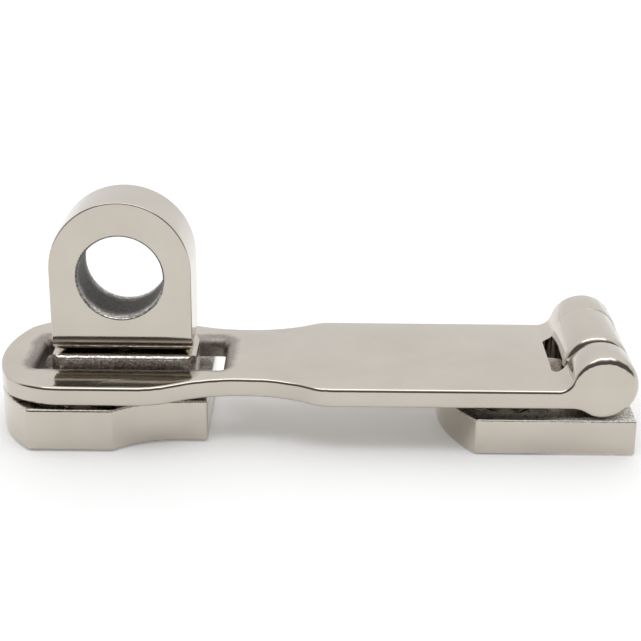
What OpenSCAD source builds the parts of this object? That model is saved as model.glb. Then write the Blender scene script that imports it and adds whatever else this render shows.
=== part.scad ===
// Swivel-eye hasp and staple, investment cast, closed position.
// Millimetres. Origin: centre of the footprint on the mounting face. +X runs to the hinge, +Z up.

/* [Overall] */
// length over the rounded nose of the arm and the hinge barrel
body_len = 97.6; // [80:0.2:130]
// width of the hinge leaf and of the wide part of the arm
body_w = 28; // [24:0.5:36]

/* [Hinge] */
// outside radius of the knuckles
barrel_r = 5; // [4:0.1:6]
// height of the hinge axis above the mounting face
axis_z = 10.9; // [9:0.1:13]
// radius of the hinge pin
pin_r = 2; // [1.5:0.1:2.6]
// length of the middle knuckle, on the leaf
mid_knuckle = 12.8; // [9:0.5:16]
// side gap between neighbouring knuckles
knuckle_gap = 0.35; // [0.2:0.05:0.8]

/* [Hinge leaf] */
// thickness of the leaf
leaf_h = 5.6; // [4:0.1:7]
// length of the leaf
leaf_len = 29.2; // [24:0.2:40]
// radius of the rounded free end of the leaf, seen from above
leaf_nose_r = 21.8; // [16:0.2:40]

/* [Arm] */
// thickness of the arm
arm_t = 3.1; // [2:0.1:4]
// height of the upper face of the arm
arm_top = 10.4; // [9:0.1:12]
// half width of the slotted end
head_hw = 14.5; // [12:0.5:18]
// half width of the waist
waist_hw = 10.4; // [8:0.2:13]
// length of the slot
slot_len = 28.9; // [24:0.2:34]
// width of the slot
slot_w = 11.8; // [10:0.2:14]
// rounding of the slot rim
slot_rim = 1.8; // [0.5:0.1:2]

/* [Staple] */
// thickness of the base
base_h = 6.7; // [5:0.1:8]
// height of the pedestal that reaches up through the slot
ped_top = 11.7; // [11:0.1:14]
// length of the pedestal
ped_len = 22.6; // [18:0.5:26]
// width of the pedestal
ped_w = 10; // [8:0.1:11]

/* [Swivel eye] */
// width of the eye
eye_w = 21.6; // [18:0.2:26]
// thickness of the eye
eye_t = 10; // [7:0.1:11]
// overall height of the closed hasp
eye_top = 36.3; // [30:0.1:44]
// radius of the padlock hole
lock_r = 6.5; // [5:0.1:7.5]
// height of the padlock hole above the mounting face
lock_z = 24.4; // [21:0.1:28]
// radius of the pivot bolt the eye turns on
shank_r = 4; // [3:0.1:4.2]

/* [Screw holes] */
// radius of the screw holes
screw_r = 2.15; // [1.6:0.05:3]
// radius of the countersinks
sink_r = 4; // [3:0.1:5.5]
// distance between the two holes in the leaf
leaf_pitch = 15.2; // [12:0.2:18]
// distance between the two holes in the staple base
base_pitch = 19.4; // [19:0.2:20]

/* [Hidden] */
$fn = 64;
hw = body_w / 2;
axis_x = body_len / 2 - barrel_r;
nose_x = -body_len / 2;
end_x = body_len / 2;
eye_x = -29.4;
slot_x = -28.45;
slot_corner = 0.8;
arm_bottom = arm_top - arm_t;
mid_half = mid_knuckle / 2;
mid_r = 5.2;
mid_dx = -0.3;
mid_near = 1.3;
mid_far = 0.3;
notch_half = mid_half + knuckle_gap;
notch_x = axis_x - 7.1;
sweep_r = 2.4;
sweep_dz = arm_top + sweep_r - axis_z;
sweep_x = axis_x - sqrt(pow(sweep_r + barrel_r, 2) - pow(sweep_dz, 2));
under_r = 4;
under_dz = axis_z - arm_bottom + under_r;
under_x = axis_x - sqrt(pow(under_r + barrel_r, 2) - pow(under_dz, 2));
leaf_x = end_x - leaf_len;
leaf_screw_x = 29.8;
base_nose = nose_x;
base_nose_r = 20.5;
base_end = -16;
base_hw = 14.4;
base_tail_hw = 10.5;
base_screw_x = -35.4;
blind_y = -(hw - 1.7);
seat_z = ped_top + 0.05;
eye_arc_z = eye_top - eye_w / 2;
eye_edge = 0.25;
eye_foot = 3.2;
hole_edge = 0.4;
ped_edge = 1;
washer_z = 1.9;
spring_z = 3.1;
thread_r = 2.5;
thread_top = 16.2;
cup_r = 6.6;
cup_h = 4;
run = 0.06;

steel = [0.76, 0.74, 0.71];
steel_dark = [0.62, 0.61, 0.59];

// Rectangle between two corners.
module box2(x0, y0, x1, y1) {
  translate([min(x0, x1), min(y0, y1)])
    square([abs(x1 - x0), abs(y1 - y0)]);
}

// Rectangle centred on the origin with rounded corners.
module round_rect(w, h, r) {
  square([w - 2 * r, h], center = true);
  square([w, h - 2 * r], center = true);
  for (sx = [-1, 1], sy = [-1, 1])
    translate([sx * (w / 2 - r), sy * (h / 2 - r)])
      circle(r);
}

// Area under an S curve from a high shoulder down to a low one; k is the shoulder arc's share.
module flank(x_hi, y_hi, x_lo, y_lo, k) {
  h = y_hi - y_lo;
  dx = x_lo - x_hi;
  sum = (dx * dx + h * h) / (2 * h);
  r1 = k * sum;
  r2 = (1 - k) * sum;
  xm = x_hi + k * dx;
  ym = y_hi - k * h;
  intersection() {
    translate([x_hi, y_hi - r1])
      circle(r1, $fn = 160);
    box2(x_hi, 0, xm, y_hi);
  }
  box2(x_hi, 0, xm, max(1, y_hi - r1));
  difference() {
    box2(xm, 0, x_lo, ym);
    translate([x_lo, y_lo + r2])
      circle(r2, $fn = 160);
  }
}

// Rounded nose pointing to -X, from its tip to x1.
module nose(x0, x1, half, corner, bulge) {
  intersection() {
    translate([x0 + bulge, 0])
      circle(bulge, $fn = 200);
    union() {
      box2(x0 + corner, -half, x1, half);
      box2(x0, -half + corner, x1, half - corner);
      for (s = [-1, 1])
        translate([x0 + corner, s * (half - corner)])
          circle(corner, $fn = 96);
    }
  }
}

// Material taken away to round the upper rim of a wall of radius r.
module rim_profile(r, f) {
  difference() {
    translate([r - 0.02, -f])
      square([f + 0.02, f + 0.01]);
    translate([r + f, -f])
      circle(f);
  }
}

// Rounding of the rim of a slot with round corners, upper face at z = 0.
module slot_rim_cut(w, h, r, f) {
  for (q = [0 : 3])
    rotate([0, 0, q * 90])
      translate([(q % 2 == 0 ? w : h) / 2 - r, (q % 2 == 0 ? h : w) / 2 - r, 0])
        rotate_extrude(angle = 90)
          rim_profile(r, f);
  for (s = [0, 180]) {
    rotate([0, 0, s])
      translate([w / 2 - r, -(h / 2 - r), 0])
        rotate([90, 0, 180])
          mirror([1, 0, 0])
            linear_extrude(h - 2 * r)
              rim_profile(r, f);
    rotate([0, 0, s])
      translate([-(w / 2 - r), h / 2 - r, 0])
        rotate([90, 0, 90])
          linear_extrude(w - 2 * r)
            rim_profile(r, f);
  }
}

// Countersunk screw hole from the upper face at z = h.
module sink_hole(h) {
  translate([0, 0, -1])
    cylinder(r = screw_r, h = h + 2);
  translate([0, 0, h - (sink_r - screw_r)])
    cylinder(r1 = screw_r, r2 = sink_r, h = sink_r - screw_r);
  translate([0, 0, h])
    cylinder(r = sink_r, h = 1);
}

// Half section of the middle knuckle, its two ends rounded by near and far.
module barrel_profile(len, near, far) {
  translate([0, near])
    square([mid_r, len - near - far]);
  square([mid_r - near, len / 2]);
  translate([0, len / 2])
    square([mid_r - far, len / 2]);
  intersection() {
    translate([mid_r - near, near])
      circle(near, $fn = 48);
    square([mid_r, near]);
  }
  intersection() {
    translate([mid_r - far, len - far])
      circle(far, $fn = 48);
    translate([0, len - far])
      square([mid_r, far]);
  }
}

// Foot of the middle knuckle seen from above, corners rounded by near and far.
module knuckle_foot(len, near, far) {
  intersection() {
    round_rect(2 * mid_r, len, near);
    box2(-mid_r, -len / 2, mid_r, 0);
  }
  intersection() {
    round_rect(2 * mid_r, len, far);
    box2(-mid_r, 0, mid_r, len / 2);
  }
}

// Leaf screwed to the door, with the middle knuckle standing on it.
module hinge_leaf() {
  color(steel)
    difference() {
      union() {
        linear_extrude(leaf_h)
          nose(leaf_x, end_x, hw, 1, leaf_nose_r);
        translate([axis_x + mid_dx, 0, leaf_h - 1])
          linear_extrude(axis_z - leaf_h + 1)
            knuckle_foot(mid_knuckle, mid_near, mid_far);
        translate([axis_x + mid_dx, -mid_half, axis_z])
          rotate([-90, 0, 0])
            rotate_extrude($fn = 96)
              barrel_profile(mid_knuckle, mid_near, mid_far);
      }
      translate([axis_x, mid_half + 1, axis_z])
        rotate([90, 0, 0])
          cylinder(r = pin_r + run, h = mid_knuckle + 2);
      for (s = [-1, 1])
        translate([leaf_screw_x, s * leaf_pitch / 2, 0])
          sink_hole(leaf_h);
    }
}

// Plan of the arm: slotted end, waist, wide part.
module arm_outline() {
  nose(nose_x, -26.8, head_hw, 11, 23);
  for (m = [0, 1])
    mirror([0, m]) {
      flank(-26.8, head_hw, -11.3, waist_hw, 0.375);
      box2(-11.3, 0, -9.9, waist_hw);
      flank(2.7, hw, -9.9, waist_hw, 0.25);
      box2(2.7, 0, axis_x, hw);
    }
}

// Lever that folds over the staple; its two outer knuckles carry the pin.
module hasp_arm() {
  color(steel)
    difference() {
      union() {
        translate([0, 0, arm_bottom])
          linear_extrude(arm_t)
            arm_outline();
        translate([0, hw, 0])
          rotate([90, 0, 0])
            linear_extrude(body_w)
              difference() {
                polygon([
                  [sweep_x, arm_top - 1],
                  [sweep_x, arm_top + sweep_r],
                  [axis_x, axis_z],
                  [axis_x, arm_top - 1]
                ]);
                translate([sweep_x, arm_top + sweep_r])
                  circle(sweep_r, $fn = 96);
              }
        translate([0, hw, 0])
          rotate([90, 0, 0])
            linear_extrude(body_w)
              difference() {
                polygon([
                  [under_x, arm_bottom + 1],
                  [under_x, arm_bottom - under_r],
                  [axis_x, axis_z],
                  [axis_x, arm_bottom + 1]
                ]);
                translate([under_x, arm_bottom - under_r])
                  circle(under_r, $fn = 128);
              }
        translate([axis_x, hw, axis_z])
          rotate([90, 0, 0])
            cylinder(r = barrel_r, h = body_w, $fn = 96);
      }
      translate([0, 0, arm_bottom - 4])
        linear_extrude(20)
          union() {
            translate([slot_x, 0])
              round_rect(slot_len, slot_w, slot_corner);
            box2(notch_x + 1.2, -notch_half, end_x + 2, notch_half);
            box2(notch_x, -notch_half + 1.2, end_x + 2, notch_half - 1.2);
            for (s = [-1, 1])
              translate([notch_x + 1.2, s * (notch_half - 1.2)])
                circle(1.2);
          }
      translate([slot_x, 0, arm_top])
        slot_rim_cut(slot_len, slot_w, slot_corner, slot_rim);
      translate([axis_x, hw + 1, axis_z])
        rotate([90, 0, 0])
          cylinder(r = pin_r, h = hw + 1 - blind_y);
    }
}

// Pin pressed in from the rear knuckle, blind at the front one.
module hinge_pin() {
  color(steel_dark)
    translate([axis_x, hw, axis_z])
      rotate([90, 0, 0])
        cylinder(r = pin_r, h = hw - blind_y - 0.3);
}

// Fixed casting: base plate, rough pedestal, bore and spring cup for the eye.
module staple_base() {
  color(steel)
    difference() {
      union() {
        linear_extrude(base_h)
          union() {
            nose(base_nose, -30.3, base_hw, 1, base_nose_r);
            for (m = [0, 1])
              mirror([0, m]) {
                flank(-30.3, base_hw, -19.9, base_tail_hw, 0.03);
                box2(-19.9, 0, base_end, base_tail_hw);
              }
          }
        intersection() {
          translate([eye_x, 0, base_h - 1])
            linear_extrude(ped_top - base_h + 1)
              round_rect(ped_len, ped_w, 2.2);
          translate([eye_x, ped_w / 2, 0])
            rotate([90, 0, 0])
              linear_extrude(ped_w)
                union() {
                  box2(-ped_len / 2, 0, ped_len / 2, ped_top - ped_edge);
                  translate([0, ped_top - 2])
                    round_rect(ped_len, 4, ped_edge);
                }
          translate([eye_x - ped_len / 2, 0, 0])
            rotate([90, 0, 90])
              linear_extrude(ped_len)
                union() {
                  box2(-ped_w / 2, 0, ped_w / 2, ped_top - ped_edge);
                  translate([0, ped_top - 2])
                    round_rect(ped_w, 4, ped_edge);
                }
        }
      }
      translate([eye_x, 0, -1])
        cylinder(r = shank_r + run, h = ped_top + 2);
      translate([eye_x, 0, -1])
        cylinder(r = cup_r, h = cup_h + 1);
      for (s = [-1, 1])
        translate([base_screw_x, s * base_pitch / 2, 0])
          sink_hole(base_h);
    }
}

// Eye for the padlock; its rounded foot rests on the pedestal.
module swivel_eye() {
  color(steel)
    translate([eye_x, 0, 0])
      difference() {
        union() {
          translate([0, 0, eye_arc_z])
            rotate([90, 0, 0])
              rotate_extrude(angle = 180, $fn = 128)
                union() {
                  box2(0, -eye_t / 2, eye_w / 2 - eye_edge, eye_t / 2);
                  box2(0, -eye_t / 2 + eye_edge, eye_w / 2, eye_t / 2 - eye_edge);
                  for (s = [-1, 1])
                    translate([eye_w / 2 - eye_edge, s * (eye_t / 2 - eye_edge)])
                      circle(eye_edge, $fn = 32);
                }
          intersection() {
            translate([0, 0, seat_z])
              linear_extrude(eye_arc_z - seat_z)
                round_rect(eye_w, eye_t, eye_edge);
            translate([0, eye_t / 2, seat_z])
              rotate([90, 0, 0])
                linear_extrude(eye_t)
                  translate([0, 10])
                    round_rect(eye_w, 20, 1.8);
            translate([-eye_w / 2, 0, seat_z])
              rotate([90, 0, 90])
                linear_extrude(eye_w)
                  translate([0, 10])
                    round_rect(eye_t, 20, eye_foot);
          }
        }
        translate([0, eye_t / 2 + 1, lock_z])
          rotate([90, 0, 0])
            cylinder(r = lock_r, h = eye_t + 2, $fn = 96);
        for (s = [0, 180])
          translate([0, 0, lock_z])
            rotate([0, 0, s])
              translate([0, -eye_t / 2, 0])
                rotate([90, 0, 0])
                  rotate_extrude($fn = 96)
                    rim_profile(lock_r, hole_edge);
        translate([0, 0, seat_z - 1])
          cylinder(r = thread_r + 0.02, h = thread_top - seat_z + 1.4);
      }
}

// Conical spring washer that keeps the eye from turning by itself.
module spring_washer() {
  color(steel_dark)
    translate([eye_x, 0, spring_z])
      rotate_extrude()
        polygon([
          [shank_r + 0.3, 0.02],
          [cup_r - 0.6, 0.3],
          [cup_r - 0.6, cup_h - spring_z],
          [shank_r + 0.3, cup_h - spring_z - 0.28]
        ]);
}

// Flat washer between the bolt's head and the spring washer.
module flat_washer() {
  color(steel_dark)
    translate([eye_x, 0, washer_z])
      difference() {
        cylinder(r = cup_r - 0.6, h = spring_z - washer_z);
        translate([0, 0, -1])
          cylinder(r = shank_r + 0.1, h = 4);
      }
}

// Shoulder bolt from below: low socket head, plain shoulder in the bore, thread in the eye.
module pivot_bolt() {
  color(steel_dark)
    translate([eye_x, 0, 0])
      difference() {
        union() {
          translate([0, 0, 0.4])
            cylinder(r = 5.4, h = washer_z - 0.4);
          translate([0, 0, 1])
            cylinder(r = shank_r, h = seat_z - 1.02);
          translate([0, 0, 8])
            cylinder(r = thread_r, h = thread_top - 8);
        }
        translate([0, 0, -1])
          cylinder(r = 2, h = 3.6, $fn = 6);
      }
}

hinge_leaf();
hasp_arm();
hinge_pin();
staple_base();
swivel_eye();
spring_washer();
flat_washer();
pivot_bolt();
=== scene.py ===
"""Cast stainless swivel-eye hasp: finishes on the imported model, with studio light and camera."""
import math

import bmesh
import bpy
from mathutils import Matrix, Vector


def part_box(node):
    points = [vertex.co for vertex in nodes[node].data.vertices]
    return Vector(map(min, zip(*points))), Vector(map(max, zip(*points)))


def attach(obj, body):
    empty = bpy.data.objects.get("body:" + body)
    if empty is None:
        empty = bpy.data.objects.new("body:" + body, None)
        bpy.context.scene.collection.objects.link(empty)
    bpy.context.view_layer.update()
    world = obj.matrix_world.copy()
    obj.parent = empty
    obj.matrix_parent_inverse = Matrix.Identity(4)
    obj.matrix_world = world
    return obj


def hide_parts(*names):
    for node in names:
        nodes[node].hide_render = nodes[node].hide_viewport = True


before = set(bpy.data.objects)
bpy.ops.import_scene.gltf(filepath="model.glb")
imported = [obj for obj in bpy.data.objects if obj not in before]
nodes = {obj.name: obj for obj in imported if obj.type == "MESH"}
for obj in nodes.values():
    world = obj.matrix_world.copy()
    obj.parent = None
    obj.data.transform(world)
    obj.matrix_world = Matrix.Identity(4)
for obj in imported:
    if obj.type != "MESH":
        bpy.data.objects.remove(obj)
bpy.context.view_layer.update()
scene = bpy.context.scene
MM = 0.001

# Sizes of the CAD solids that the finishes follow, in millimetres.
SLOT_X, SLOT_LEN, SLOT_W, SLOT_R, SLOT_RIM = -28.45, 28.9, 11.8, 0.8, 1.8
LEAF_TOP, BASE_TOP, PED_TOP = 5.6, 6.7, 11.7
PED_EDGE, PED_FLAT_HALF = 1.0, 10.4
LEAF_HOLE, BASE_HOLE, SINK_R = (29.8, 7.6), (-35.4, 9.7), 4.3
HOLE_Z, HOLE_R = 24.4, 6.5
AXIS_X, AXIS_Z, BARREL_R, PIN_R = 43.8, 10.9, 5.0, 2.0
NOTCH_HALF, NOTCH_START, NOTCH_WALL = 7.0, 34.0, 37.2
KNUCKLE_END = 13.5
EYE_X = (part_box("swivel_eye")[0].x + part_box("swivel_eye")[1].x) / 2 / MM


# ---------------------------------------------------------------- node helpers
def new_material(name):
    mat = bpy.data.materials.new(name)
    mat.use_nodes = True
    tree = mat.node_tree
    tree.nodes.clear()
    out = tree.nodes.new("ShaderNodeOutputMaterial")
    shader = tree.nodes.new("ShaderNodeBsdfPrincipled")
    tree.links.new(shader.outputs["BSDF"], out.inputs["Surface"])
    return mat, tree, shader


def new_metal(name):
    mat, tree, shader = new_material(name)
    shader.inputs["Metallic"].default_value = 1.0
    return mat, tree, shader, tree.nodes.new("ShaderNodeTexCoord").outputs["Object"]


def axes(tree, coord):
    split = tree.nodes.new("ShaderNodeSeparateXYZ")
    tree.links.new(coord, split.inputs[0])
    return split.outputs


def noise(tree, coord, scale, detail=2.0, rough=0.5, stretch=None):
    """Noise on object coordinates; scale is in features per metre."""
    source = coord
    if stretch:
        mapping = tree.nodes.new("ShaderNodeMapping")
        mapping.inputs["Scale"].default_value = stretch
        tree.links.new(coord, mapping.inputs["Vector"])
        source = mapping.outputs["Vector"]
    node = tree.nodes.new("ShaderNodeTexNoise")
    node.inputs["Scale"].default_value = scale
    node.inputs["Detail"].default_value = detail
    node.inputs["Roughness"].default_value = rough
    tree.links.new(source, node.inputs["Vector"])
    return node.outputs["Fac"]


def remap(tree, value, a, b, c, d):
    """a to b becomes c to d, clamped."""
    node = tree.nodes.new("ShaderNodeMapRange")
    for key, number in zip(("From Min", "From Max", "To Min", "To Max"), (a, b, c, d)):
        node.inputs[key].default_value = number
    tree.links.new(value, node.inputs["Value"])
    return node.outputs["Result"]


def maths(tree, kind, a, b=0.0):
    node = tree.nodes.new("ShaderNodeMath")
    node.operation = kind
    for socket, item in zip(node.inputs, (a, b)):
        if isinstance(item, (int, float)):
            socket.default_value = item
        else:
            tree.links.new(item, socket)
    return node.outputs["Value"]


def ragged(tree, coord, value, scale, reach):
    """value with a noise of that reach on it, so that a limit drawn on it wanders."""
    centred = maths(tree, "SUBTRACT", noise(tree, coord, scale), 0.5)
    return maths(tree, "ADD", value, maths(tree, "MULTIPLY", centred, reach * MM))


def ramp(tree, value, low, low_color, high, high_color):
    node = tree.nodes.new("ShaderNodeValToRGB")
    for element, position, color in zip(node.color_ramp.elements, (low, high), (low_color, high_color)):
        element.position = position
        element.color = (*color, 1)
    tree.links.new(value, node.inputs["Fac"])
    return node.outputs["Color"]


def blend_color(tree, mask, a, b):
    node = tree.nodes.new("ShaderNodeMix")
    node.data_type = "RGBA"
    for key, item in zip(("Factor", "A", "B"), (mask, a, b)):
        tree.links.new(item, node.inputs[key])
    return node.outputs["Result"]


def blend_value(tree, mask, a, b):
    return maths(tree, "ADD", a, maths(tree, "MULTIPLY", mask, maths(tree, "SUBTRACT", b, a)))


def bump(tree, height, strength, distance, normal=None):
    """distance is in millimetres."""
    node = tree.nodes.new("ShaderNodeBump")
    node.inputs["Strength"].default_value = strength
    node.inputs["Distance"].default_value = distance * MM
    tree.links.new(height, node.inputs["Height"])
    if normal:
        tree.links.new(normal, node.inputs["Normal"])
    return node.outputs["Normal"]


def finish(tree, shader, color, rough, normal):
    tree.links.new(color, shader.inputs["Base Color"])
    tree.links.new(rough, shader.inputs["Roughness"])
    tree.links.new(normal, shader.inputs["Normal"])


# ---------------------------------------------------------------- materials
SATIN_DULL = ((0.27, 0.24, 0.22), (0.42, 0.375, 0.345))
# Painted highlight: the bright satin pair lightens the plates' upper-edge grain beyond the steel's own
# tone.
SATIN_PAINTED_HIGHLIGHT = ((0.50, 0.46, 0.42), (0.88, 0.84, 0.78))


def polished_steel(name, satin=None, satin_colors=SATIN_DULL):
    """Mirror-polished casting: soft buffing waves, fine lines, faint cloudiness.

    satin(tree, coord) may give a mask from 0 to 1 where the wheel did not reach.
    """
    mat, tree, shader, coord = new_metal(name)
    cloud = noise(tree, coord, 90.0, 3.0, 0.55)
    color = ramp(tree, cloud, 0.3, (0.545, 0.500, 0.440), 0.7, (0.590, 0.542, 0.478))
    fine = noise(tree, coord, 1400.0, stretch=(1.0, 6.0, 6.0))
    rough = remap(tree, fine, 0.35, 0.65, 0.09, 0.15)
    waves = noise(tree, coord, 160.0, 2.0, 0.4)
    normal = bump(tree, fine, 0.04, 0.008, bump(tree, waves, 0.10, 0.06))
    if satin:
        mask = satin(tree, coord)
        grain = noise(tree, coord, 2600.0, 3.0, 0.6)
        satin_color = ramp(tree, grain, 0.35, satin_colors[0], 0.65, satin_colors[1])
        color = blend_color(tree, mask, color, satin_color)
        rough = blend_value(tree, mask, rough, remap(tree, grain, 0.3, 0.7, 0.36, 0.50))
        normal = bump(tree, maths(tree, "MULTIPLY", grain, mask), 0.5, 0.04, normal)
    finish(tree, shader, color, rough, normal)
    return mat


def turned_steel():
    """Pin, washers and bolt: plain turned metal, a little duller than the castings."""
    mat, tree, shader, coord = new_metal("turned_steel")
    grain = noise(tree, coord, 1200.0, 3.0)
    color = ramp(tree, grain, 0.3, (0.36, 0.34, 0.31), 0.7, (0.50, 0.47, 0.43))
    finish(tree, shader, color, remap(tree, grain, 0.3, 0.7, 0.22, 0.34), bump(tree, grain, 0.15, 0.02))
    return mat


def cast_skin():
    """As-cast surface left unpolished: pebbled grain that sparkles, with painted light as a bright strip
    along the top edges beside the knuckles.
    """
    mat, tree, shader, coord = new_metal("as_cast_skin")
    pebble = noise(tree, coord, 2900.0, 3.0, 0.6)
    lump = noise(tree, coord, 700.0)
    place = axes(tree, coord)
    outward = ragged(tree, coord, maths(tree, "ABSOLUTE", place["Y"]), 900.0, 1.2)
    painted_light_edge_band = remap(tree, outward, 12.4 * MM, 12.9 * MM, 0.0, 1.0)
    beside_knuckle = remap(tree, place["X"], 34.0 * MM, 38.0 * MM, 0.0, 1.0)
    # Painted light: the top-edge strip beside the knuckles, which the arm shades, is coloured bright and
    # made less metallic to look lit.
    painted_light_strip = maths(tree, "MULTIPLY", painted_light_edge_band, beside_knuckle)
    raw = ramp(tree, pebble, 0.38, (0.30, 0.28, 0.255), 0.62, (0.72, 0.67, 0.61))
    bright = ramp(tree, pebble, 0.42, (0.55, 0.52, 0.48), 0.58, (0.98, 0.96, 0.92))
    tree.links.new(remap(tree, painted_light_strip, 0.0, 1.0, 1.0, 0.15), shader.inputs["Metallic"])
    normal = bump(tree, pebble, 0.9, 0.07, bump(tree, lump, 0.5, 0.09))
    rough = remap(tree, lump, 0.3, 0.7, 0.24, 0.38)
    finish(tree, shader, blend_color(tree, painted_light_strip, raw, bright), rough, normal)
    return mat


def worn_skin_painted_sparkle():
    """As-cast metal that the wheel has only caught on its high spots, with its broken sparkle painted in as
    bright colour.
    """
    mat, tree, shader, coord = new_metal("worn_cast_edge_painted_sparkle")
    pebble = noise(tree, coord, 1500.0, 3.0, 0.6)
    # Painted sparkle: the high spots are coloured brighter than the polished steel itself.
    color = ramp(tree, pebble, 0.40, (0.46, 0.43, 0.39), 0.60, (0.92, 0.88, 0.82))
    finish(tree, shader, color, remap(tree, pebble, 0.4, 0.6, 0.34, 0.14), bump(tree, pebble, 0.7, 0.08))
    return mat


def bore_painted_shade_and_light_skin():
    """Padlock hole: as-cast wall painted near black as shade, turning to bright, rough metal painted as
    light towards its lower rims.
    """
    mat, tree, shader, coord = new_metal("cast_bore_painted_shade_and_light")
    pebble = noise(tree, coord, 2200.0, 3.0, 0.6)
    place = axes(tree, coord)
    outward = ragged(tree, coord, maths(tree, "ABSOLUTE", place["Y"]), 500.0, 1.2)
    rim = remap(tree, outward, 2.0 * MM, 4.7 * MM, 0.0, 1.0)
    bottom = remap(tree, place["Z"], HOLE_Z * MM, (HOLE_Z - 0.8 * HOLE_R) * MM, 0.3, 1.0)
    # Painted shade deep in the bore, painted light towards its ends and lower side.
    metal = maths(tree, "MULTIPLY", maths(tree, "MULTIPLY", rim, rim), bottom)
    dark = ramp(tree, pebble, 0.38, (0.035, 0.032, 0.027), 0.62, (0.085, 0.078, 0.068))
    light = ramp(tree, pebble, 0.40, (0.36, 0.33, 0.30), 0.60, (0.90, 0.86, 0.80))
    tree.links.new(metal, shader.inputs["Metallic"])
    shader.inputs["Specular IOR Level"].default_value = 0.25
    rough = remap(tree, metal, 0.0, 1.0, 0.55, 0.24)
    finish(tree, shader, blend_color(tree, metal, dark, light), rough, bump(tree, pebble, 0.8, 0.07))
    return mat


def slot_zone(tree, coord):
    """1 inside and on the rim of the arm's slot, fading out on the polished face."""
    place = axes(tree, coord)
    along = maths(tree, "ABSOLUTE", maths(tree, "SUBTRACT", place["X"], SLOT_X * MM))
    across = maths(tree, "ABSOLUTE", place["Y"])
    dx = maths(tree, "MAXIMUM", maths(tree, "SUBTRACT", along, (SLOT_LEN / 2 - SLOT_R) * MM))
    dy = maths(tree, "MAXIMUM", maths(tree, "SUBTRACT", across, (SLOT_W / 2 - SLOT_R) * MM))
    squares = maths(tree, "ADD", maths(tree, "MULTIPLY", dx, dx), maths(tree, "MULTIPLY", dy, dy))
    reach = ragged(tree, coord, maths(tree, "SQRT", squares), 420.0, 1.2)
    limit = SLOT_R + SLOT_RIM
    return remap(tree, reach, (limit - 0.5) * MM, (limit + 0.5) * MM, 1.0, 0.0)


def top_edge_zone(top, depth):
    """Mask of the rough band that is left along the upper edge of a base plate, where the bright satin
    colour is a painted highlight.
    """
    def mask(tree, coord):
        height = axes(tree, coord)["Z"]
        start = (top - depth) * MM
        rising = remap(tree, ragged(tree, coord, height, 420.0, 0.8), start, start + 0.3 * MM, 0.0, 1.0)
        falling = remap(tree, height, (top + 0.05) * MM, (top + 0.15) * MM, 1.0, 0.0)
        return maths(tree, "MULTIPLY", rising, falling)
    return mask


EDGE_BAND = 0.4
POLISHED = polished_steel("polished_cast_steel")
POLISHED_LEAF = polished_steel("polished_cast_steel_leaf", top_edge_zone(LEAF_TOP, EDGE_BAND), SATIN_PAINTED_HIGHLIGHT)
POLISHED_BASE = polished_steel("polished_cast_steel_base", top_edge_zone(BASE_TOP, EDGE_BAND), SATIN_PAINTED_HIGHLIGHT)
POLISHED_ARM = polished_steel("polished_cast_steel_arm", slot_zone)
CAST = cast_skin()
WORN_PAINTED_SPARKLE = worn_skin_painted_sparkle()
BORE_PAINTED_SHADE_AND_LIGHT = bore_painted_shade_and_light_skin()


def dress(mesh, *materials):
    mesh.materials.clear()
    for mat in materials:
        mesh.materials.append(mat)


TURNED = turned_steel()
for name in ("hinge_pin", "spring_washer", "flat_washer", "pivot_bolt"):
    dress(nodes[name].data, TURNED)


# ---------------------------------------------------------------- castings with rounded edges
MERGE = 0.002
FLAT_ANGLE = math.radians(0.6)
SHARP_ANGLE = math.radians(32)


def casting(name, body, polished, widest, weight_of, rough_of):
    """Copy of a CAD solid whose outer edges are rounded.

    weight_of(middle) gives an edge's share of widest, the largest rounding in millimetres.
    rough_of(centre, normal) gives a face's finish: 0 polished, 1 as cast, 2 worn with painted sparkle.
    """
    bm = bmesh.new()
    bm.from_mesh(nodes[name].data)
    bmesh.ops.remove_doubles(bm, verts=bm.verts, dist=MERGE * MM)
    bmesh.ops.dissolve_limit(
        bm, angle_limit=FLAT_ANGLE, verts=bm.verts, edges=bm.edges, use_dissolve_boundaries=False
    )
    bm.normal_update()
    weight = bm.edges.layers.float.new("bevel_weight_edge")
    for face in bm.faces:
        face.smooth = True
        face.material_index = int(rough_of(face.calc_center_median() / MM, face.normal))
    for edge in bm.edges:
        sharp = len(edge.link_faces) == 2 and edge.calc_face_angle(0.0) > SHARP_ANGLE
        middle = (edge.verts[0].co + edge.verts[1].co) / 2 / MM
        edge[weight] = weight_of(middle) if sharp and edge.is_convex else 0.0
        edge.smooth = not sharp or edge[weight] > 0.0
    mesh = bpy.data.meshes.new(name + "_casting")
    dress(mesh, polished, CAST, WORN_PAINTED_SPARKLE)
    bm.to_mesh(mesh)
    bm.free()
    piece = bpy.data.objects.new(name + "_casting", mesh)
    scene.collection.objects.link(piece)
    mod = piece.modifiers.new("edge_round", "BEVEL")
    mod.width = widest * MM
    mod.segments = 5
    mod.limit_method = "WEIGHT"
    mod.offset_type = "OFFSET"
    mod.use_clamp_overlap = False
    mod.loop_slide = False
    mod.harden_normals = True
    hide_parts(name)
    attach(piece, body)


def near(value, target, tolerance=0.05):
    return abs(value - target) < tolerance


def clip(value):
    return min(1.0, max(0.0, value))


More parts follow.
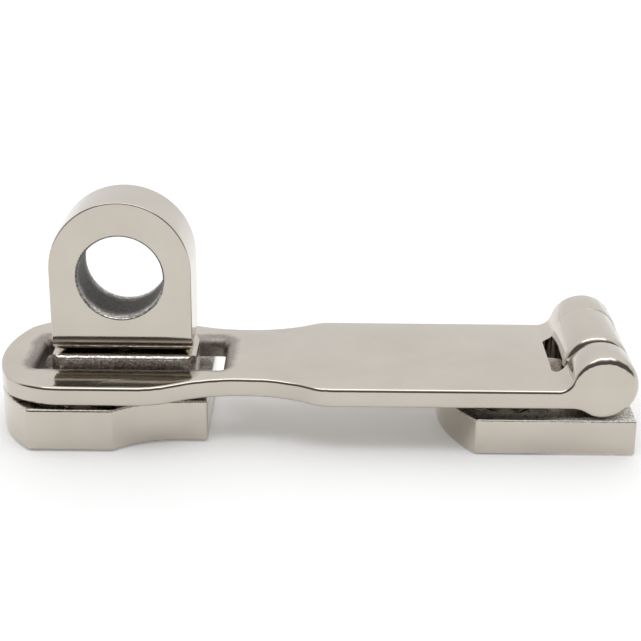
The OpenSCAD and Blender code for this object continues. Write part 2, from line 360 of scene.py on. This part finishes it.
def arm_weight(p):
    """Rounding of the arm: 0.6 mm on its outline, growing to 1.3 mm round the top of its knuckles."""
    outline, slight = 0.46, 0.08
    radius = math.hypot(p.x - AXIS_X, p.z - AXIS_Z)
    if radius < PIN_R + 0.5:
        return 0.0
    if abs(p.y) > KNUCKLE_END and near(radius, BARREL_R, 0.1):
        turn = math.degrees(math.atan2(p.z - AXIS_Z, p.x - AXIS_X))
        share = (165.0 - turn) / 65.0 if turn > 0 else (turn + 110.0) / 60.0
        return outline + (1.0 - outline) * clip(share)
    if abs(p.x - SLOT_X) < SLOT_LEN / 2 + 0.1 and abs(p.y) < SLOT_W / 2 + 0.1:
        return 0.0
    if abs(p.y) < NOTCH_HALF and p.x > NOTCH_START:
        on_arm_side = p.x < AXIS_X
        if p.x < NOTCH_WALL or (on_arm_side and p.z < 12.0):
            return 0.0
        rise = (p.z - 12.0) / 2.8 if on_arm_side else (p.z - 8.5) / 5.0
        return slight + (1.0 - slight) * clip(rise) if p.y < 0 else slight
    return outline


def plate_weight(top, hole):
    """Rounding of a base plate: full on its outline, slight on the rims of its screw holes."""
    def weight(p):
        if p.z > top + 0.1 or math.hypot(p.x - EYE_X, p.y) < 7.0:
            return 0.0
        if math.hypot(p.x - hole[0], abs(p.y) - hole[1]) < SINK_R:
            return 0.25 if near(p.z, top) else 0.0
        return 1.0
    return weight


def arm_finish(c, n):
    return 0


def leaf_finish(c, n):
    """Cast above and below, polished round its sides and on the knuckle."""
    return c.z < 0.05 or (n.z > 0.9 and near(c.z, LEAF_TOP))


def base_finish(c, n):
    """Cast above, below and on the pedestal's sides; worn, with painted sparkle, along the pedestal's upper
    edge.
    """
    if c.z > PED_TOP - PED_EDGE - 0.05 and n.z > 0.2:
        return 0 if n.z > 0.98 or abs(c.x - EYE_X) > PED_FLAT_HALF else 2
    return c.z > BASE_TOP + 0.05 or c.z < 0.05 or (n.z > 0.9 and near(c.z, BASE_TOP))


casting("hasp_arm", "arm", POLISHED_ARM, 1.3, arm_weight, arm_finish)
casting("hinge_leaf", "fixed", POLISHED_LEAF, 0.28, plate_weight(LEAF_TOP, LEAF_HOLE), leaf_finish)
casting("staple_base", "fixed", POLISHED_BASE, 0.45, plate_weight(BASE_TOP, BASE_HOLE), base_finish)


# ---------------------------------------------------------------- eye, whose CAD edges are rounded
def eye_finish(c):
    """0 polished, 1 as cast under the foot, 2 in the padlock hole."""
    if math.hypot(c.x - EYE_X, c.z - HOLE_Z) < HOLE_R + 0.3:
        return 2
    return 1 if c.z < PED_TOP + 0.2 else 0


eye_mesh = nodes["swivel_eye"].data
dress(eye_mesh, POLISHED, CAST, BORE_PAINTED_SHADE_AND_LIGHT)
for face in eye_mesh.polygons:
    face.material_index = eye_finish(face.center / MM)


# ---------------------------------------------------------------- floor
FLOOR_HALF = 3.0
FLOOR_DROP = 0.2

floor_mesh = bpy.data.meshes.new("floor")
corners = [(sx * FLOOR_HALF, sy * FLOOR_HALF, 0) for sx, sy in ((-1, -1), (1, -1), (1, 1), (-1, 1))]
floor_mesh.from_pydata(corners, [], [(0, 1, 2, 3)])
floor = bpy.data.objects.new("floor", floor_mesh)
floor.location = (0, 0, -FLOOR_DROP * MM)
scene.collection.objects.link(floor)
floor_mat, floor_tree, floor_shader = new_material("floor_white")
floor_shader.inputs["Base Color"].default_value = (0.95, 0.95, 0.95, 1)
floor_shader.inputs["Roughness"].default_value = 0.6
floor_shader.inputs["Emission Color"].default_value = (1.0, 1.0, 1.0, 1)
floor_shader.inputs["Emission Strength"].default_value = 0.18
dress(floor_mesh, floor_mat)


# ---------------------------------------------------------------- light
def studio_dome(tree):
    """White tent with a dark opening on the camera's side."""
    side = axes(tree, tree.nodes.new("ShaderNodeTexCoord").outputs["Generated"])
    white = remap(tree, side["Z"], 0.3, 1.0, 0.92, 1.10)
    front = remap(tree, side["Y"], -0.02, -0.35, 0.0, 1.0)
    low = remap(tree, side["Z"], 0.90, 0.65, 0.0, 1.0)
    shade = maths(tree, "MULTIPLY", maths(tree, "MULTIPLY", front, low), 0.88)
    strength = maths(tree, "MULTIPLY", white, maths(tree, "SUBTRACT", 1.0, shade))
    background = tree.nodes["Background"]
    tree.links.new(strength, background.inputs["Strength"])
    background.inputs["Color"].default_value = (1.0, 1.0, 1.0, 1)


world = bpy.data.worlds.new("studio")
scene.world = world
world.use_nodes = True
studio_dome(world.node_tree)

KEY_PLACE = Vector((0.0, -0.19, 0.68))
key_data = bpy.data.lights.new("key_top", "AREA")
key_data.shape = "RECTANGLE"
key_data.size, key_data.size_y = 0.8, 0.2
key_data.energy = 0.9
key = bpy.data.objects.new("key_top", key_data)
key.location = KEY_PLACE
key.rotation_euler = (-KEY_PLACE).to_track_quat("-Z", "Y").to_euler()
scene.collection.objects.link(key)

# ---------------------------------------------------------------- camera, level with the front edge
PITCH, YAW, ROLL = (math.radians(angle) for angle in (21.0, 0.28, 0.48))
SENSOR, LENS = 36.0, 88.516
DISTANCE, RISE = 238.8, 19.924
FRONT_EDGE = Vector((1.28, -14.0, 0.0))

forward = Vector((-math.sin(YAW) * math.cos(PITCH), math.cos(YAW) * math.cos(PITCH), -math.sin(PITCH)))
level = Vector((math.cos(YAW), math.sin(YAW), 0.0))
up = level.cross(forward)
cam_right = math.cos(ROLL) * level + math.sin(ROLL) * up
cam_up = math.cos(ROLL) * up - math.sin(ROLL) * level
position = (FRONT_EDGE - forward * DISTANCE + cam_up * RISE) * MM

cam_data = bpy.data.cameras.new("camera")
cam_data.sensor_width = SENSOR
cam_data.lens = LENS
cam_data.clip_start = 0.01
camera = bpy.data.objects.new("camera", cam_data)
rotation = Matrix((cam_right, cam_up, -forward)).transposed()
camera.matrix_world = Matrix.Translation(position) @ rotation.to_4x4()
scene.collection.objects.link(camera)
scene.camera = camera
scene.view_settings.view_transform = "Standard"
